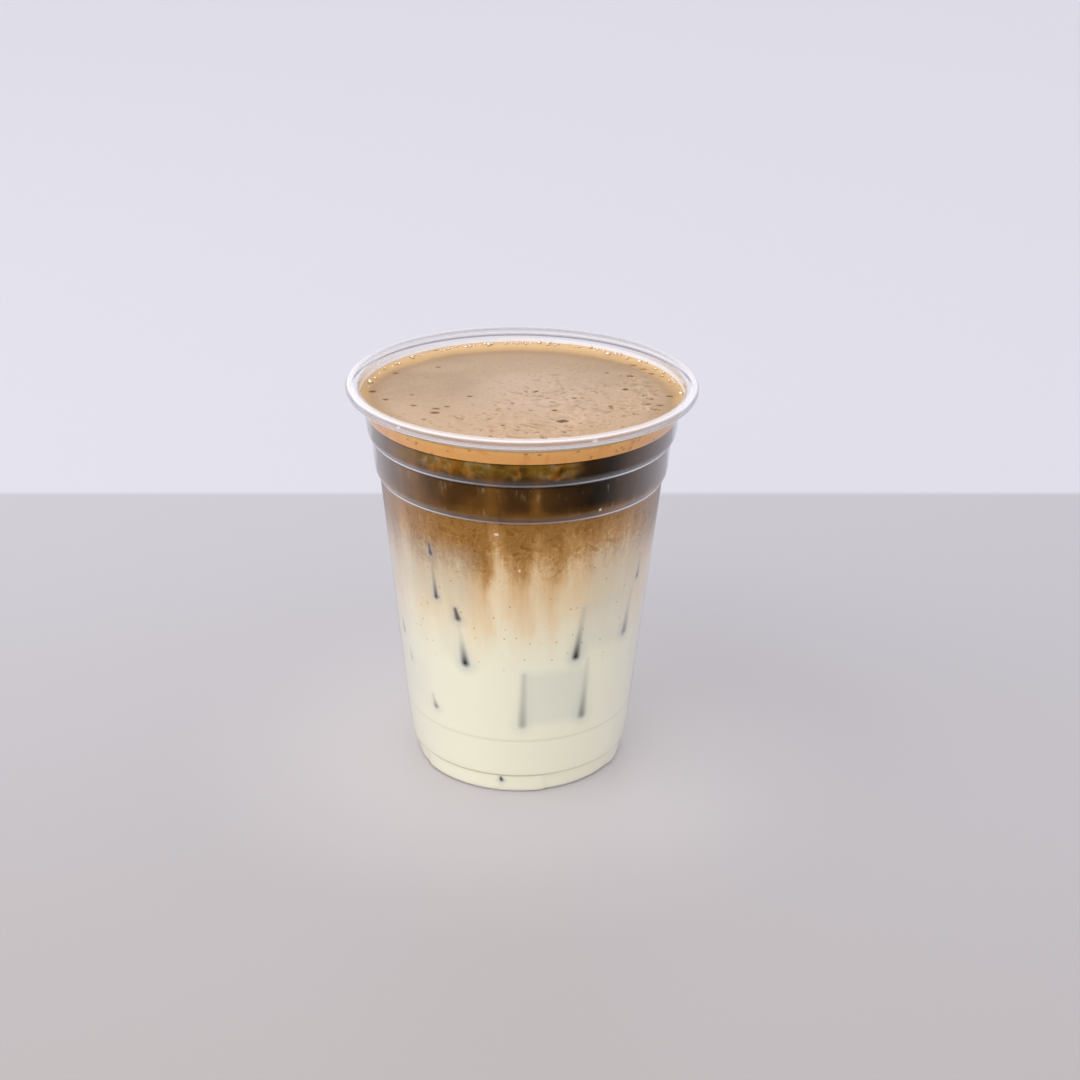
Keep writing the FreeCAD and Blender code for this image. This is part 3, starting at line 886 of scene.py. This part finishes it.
def foam_finish():
    """Tan skin, painted paler on its crests as light and darker in its troughs as shade,
    greyer at the back as painted shade, with golden froth round it.
    """
    finish = Finish("tan_foam")
    along = finish.place()
    across, depth, up = finish.parts(along)
    radius = radius_at(across, depth)
    blotch = finish.noise(along, (1, 1, 1), 0.05, 4.0, 0.6)
    grain = finish.noise(along, (1, 1, 1), 1.1, 4.0)
    skin = finish.blend(blotch.eased(0.35, 0.65), colour(173, 147, 118), colour(186, 160, 131))
    skin = finish.blend(grain.eased(0.40, 0.75) * 0.35, skin, colour(152, 122, 92))
    # Paler in front, and greyer at the back as painted shade.
    skin = finish.blend(depth.eased(10, -38) * 0.6, skin, colour(208, 175, 141))
    skin = finish.blend(depth.eased(4, 36) * 0.45, skin, colour(166, 139, 110))
    middle = ((across - 5) ** 2 + depth * depth * 0.7) ** 0.5
    skin = finish.blend(middle.eased(27, 4) * 0.28, skin, colour(220, 196, 178))
    # Painted light on the wavelets' crests and painted shade in their troughs.
    crest = finish.attribute("crest")
    skin = finish.blend(crest.eased(0.25, 1.0) * 0.46, skin, colour(212, 184, 152))
    skin = finish.blend(crest.eased(-0.15, -1.1) * 0.42, skin, colour(142, 110, 78))

    # Froth against the wall is golden, in a wide band at the back.
    back = (depth / radius.at_least(1)).at_least(0)
    froth = radius + back ** 1.2 * 5.4 + (blotch - 0.5) * 3 + (grain - 0.5) * 0.8
    skin = finish.blend(froth.eased(37.0, 42.5) * 0.55, skin, colour(164, 128, 84))
    skin = finish.blend(froth.eased(40.9, 44.6) * 0.95, skin, colour(206, 168, 116))
    skin = finish.blend(froth.eased(44.0, 47.4) * 0.85, skin, colour(223, 188, 138))

    # Its side, seen through the wall, is an orange tan with darker streaks.
    side = finish.blend((up + (grain - 0.5) * 0.6).eased(106.4, 110.2),
                        colour(234, 173, 104), colour(250, 196, 122))
    streaky = finish.noise(along, (1, 1, 0.5), 0.30, 4.0, 0.8)
    side = finish.blend(streaky.eased(0.45, 0.75) * 0.55, side, colour(222, 142, 58))
    tint = finish.blend(up.eased(110.45, 110.0) * radius.eased(42.0, 42.6), skin, side)

    # Pores lie close in front on the right as small dots of painted shade, and the pits have
    # painted shade inside.
    flat = finish.vector_maths("MULTIPLY", {0: along, 1: (0.7, 1.2, 1.0)})
    pores = finish.cells(flat, "F1", 0.5).eased(0.26, 0.10)
    pores = pores * (blotch + across * 0.005 - depth * 0.005).eased(0.40, 0.60)
    tint = finish.blend(pores * 0.6, tint, colour(132, 100, 68))
    tint = finish.blend(finish.attribute("pit").eased(0.10, 0.7) * 0.85, tint, colour(96, 68, 36))
    bump = finish.node("ShaderNodeBump", values={
        "Height": grain, "Strength": 0.3, "Distance": 0.0003})
    return finish.shown_solid(tint, roughness=0.5, specular=0.15, Normal=bump)


foam_mesh = bmesh.new()
bmesh.ops.create_grid(foam_mesh, x_segments=FOAM_CELLS, y_segments=FOAM_CELLS, size=1.0)
for vert in foam_mesh.verts:
    x, y = vert.co.x, vert.co.y
    vert.co.x = FOAM_RADIUS * x * math.sqrt(1 - y * y / 2)
    vert.co.y = FOAM_RADIUS * y * math.sqrt(1 - x * x / 2)
rim_edges = [edge for edge in foam_mesh.edges if edge.is_boundary]
pits = foam_mesh.verts.layers.float.new("pit")
crests = foam_mesh.verts.layers.float.new("crest")
for vert in foam_mesh.verts:
    climb = smooth(FOAM_RADIUS - CLIMB_WIDTH, FOAM_RADIUS, math.hypot(vert.co.x, vert.co.y))
    climb *= 0.5 + 0.5 * noise.noise(Vector((vert.co.x * 160, vert.co.y * 160, 2.0)))
    rise, vert[pits], vert[crests] = foam_relief(vert.co)
    vert.co.z = FOAM_TOP + rise * MM
    vert.co.z += (foam_high.z - FOAM_TOP) * climb
for here, there in zip(foam_side[::-1], foam_side[-2::-1]):
    grown = bmesh.ops.extrude_edge_only(foam_mesh, edges=rim_edges)["geom"]
    rim_edges = [thing for thing in grown if isinstance(thing, bmesh.types.BMEdge)]
    for vert in (thing for thing in grown if isinstance(thing, bmesh.types.BMVert)):
        vert.co.x *= there.x / here.x
        vert.co.y *= there.x / here.x
        vert.co.z = there.y
bmesh.ops.edgeloop_fill(foam_mesh, edges=[edge for edge in foam_mesh.edges if edge.is_boundary])
bmesh.ops.recalc_face_normals(foam_mesh, faces=foam_mesh.faces)
foam_cap = finished_piece("foam_cap", foam_mesh, foam_finish())
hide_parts("foam")

# --- Bubbles -----------------------------------------------------------------------
# Bubbles of milky froth left where the foam meets the wall, most of them at the back.
# Each is a small ball, a little flattened, about half sunk in the foam.

random.seed(7)
BUBBLE_COUNT = 120
LARGE_EVERY = 8
LARGE_SIZES = (0.5, 0.8)
SMALL_SIZES = (0.2, 0.45)
BUBBLE_HEIGHTS = (-0.1, 0.35)
BUBBLE_BAND = 2.2
BUBBLE_AZIMUTH = 185
BUBBLE_SPREAD = 42
FLATNESS = 0.8


def bubble_finish():
    """Golden froth with a painted highlight on top of each bubble, towards the light."""
    finish = Finish("froth_bubble")
    outward = finish.node("ShaderNodeNewGeometry", result="Normal")
    # A painted highlight where a bubble faces up towards the lamp.
    towards = finish.vector_maths("DOT_PRODUCT", {0: outward, 1: (-0.25, -0.55, 0.80)}, "Value")
    tint = finish.blend(towards.eased(0.80, 0.93), colour(206, 168, 118), colour(255, 252, 246))
    return finish.shown_solid(tint, roughness=0.2, specular=0.5)


bubble_mesh = bmesh.new()
for number in range(BUBBLE_COUNT):
    azimuth = math.radians(random.gauss(BUBBLE_AZIMUTH, BUBBLE_SPREAD))
    sizes = LARGE_SIZES if number % LARGE_EVERY == 0 else SMALL_SIZES
    size = random.uniform(*sizes) * MM
    radius = FOAM_RADIUS - size - random.uniform(0.0, BUBBLE_BAND) * MM
    height = FOAM_TOP + random.uniform(*BUBBLE_HEIGHTS) * MM
    place = Matrix.Translation((radius * math.sin(azimuth), -radius * math.cos(azimuth), height))
    bmesh.ops.create_icosphere(bubble_mesh, subdivisions=2, radius=size,
                               matrix=place @ Matrix.Diagonal((1, 1, FLATNESS, 1)))
bubbles = finished_piece("foam_bubbles", bubble_mesh, bubble_finish())

# --- Room --------------------------------------------------------------------------
# A plain pale table top, and a paler ground behind its far edge, under a pale room's
# even light and one large soft lamp in front on the left.

TABLE_EDGE = 193.7
EDGE_SLOPE = 0.0388
GROUND_HALF = 6.0


def ground_finish():
    """The table, painted paler round the cup's foot in place of its shadow and greyer on
    the right as painted shade, in millimetres.
    """
    finish = Finish("pale_ground")
    across, depth, _ = finish.parts(finish.place())
    table = finish.blend(depth.eased(190, -330), colour(188, 186, 189), colour(175, 168, 163))
    # Painted shade, greyer towards the right.
    table = finish.blend(across.eased(-60, 280) * 0.22, table, colour(165, 163, 167))
    # Painted light round the cup's foot, in place of its shadow.
    foot = radius_at(across, depth).eased(110, 20)
    table = finish.blend(foot * 0.85, table, colour(202, 197, 196))
    beyond = (depth - across * EDGE_SLOPE).eased(TABLE_EDGE - 3.2, TABLE_EDGE + 2.6)
    tint = finish.blend(beyond, table, colour(207, 207, 213))
    return finish.shown_solid(tint, roughness=0.42, specular=0.22)


ground_mesh = bmesh.new()
bmesh.ops.create_grid(ground_mesh, x_segments=1, y_segments=1, size=GROUND_HALF)
ground_data = bpy.data.meshes.new("ground")
ground_mesh.to_mesh(ground_data)
ground_mesh.free()
ground_data.materials.append(ground_finish().material)
ground = bpy.data.objects.new("ground", ground_data)
bpy.context.scene.collection.objects.link(ground)

world = bpy.data.worlds.new("pale_room")
bpy.context.scene.world = world
world.use_nodes = True
background = world.node_tree.nodes["Background"]
background.inputs["Color"].default_value = colour(232, 231, 238)
background.inputs["Strength"].default_value = 1.25

key_data = bpy.data.lights.new("soft_key", "AREA")
key_data.shape = "DISK"
key_data.size = 2.6
key_data.energy = 17.0
key_data.color = (1.0, 0.985, 0.96)
key = bpy.data.objects.new("soft_key", key_data)
key.location = (-1.1, -0.95, 1.3)
key.rotation_euler = (Vector((0, 0, 0.06)) - key.location).to_track_quat("-Z", "Y").to_euler()
key.visible_glossy = False
bpy.context.scene.collection.objects.link(key)

# The camera stands in front, a little to the right of the cup, and looks down on it.
CAMERA_PLACE = (0.0055666, -0.5, 0.2881)
LOOKS_DOWN = 23.9634
ROLL = 0.8513
camera_data = bpy.data.cameras.new("camera")
camera_data.lens = 63.33
camera_data.sensor_width = 36.0
camera_data.clip_start = 0.01
camera = bpy.data.objects.new("camera", camera_data)
camera.matrix_world = (Matrix.Translation(CAMERA_PLACE) @ turned(90 - LOOKS_DOWN, "X")
                       @ turned(ROLL, "Z"))
bpy.context.scene.collection.objects.link(camera)
bpy.context.scene.camera = camera
bpy.context.scene.view_settings.view_transform = "Standard"

# Light passes through many layers of the clear sheet.
bpy.context.scene.cycles.transparent_max_bounces = 32
bpy.context.scene.cycles.transmission_bounces = 24
bpy.context.scene.cycles.max_bounces = 24
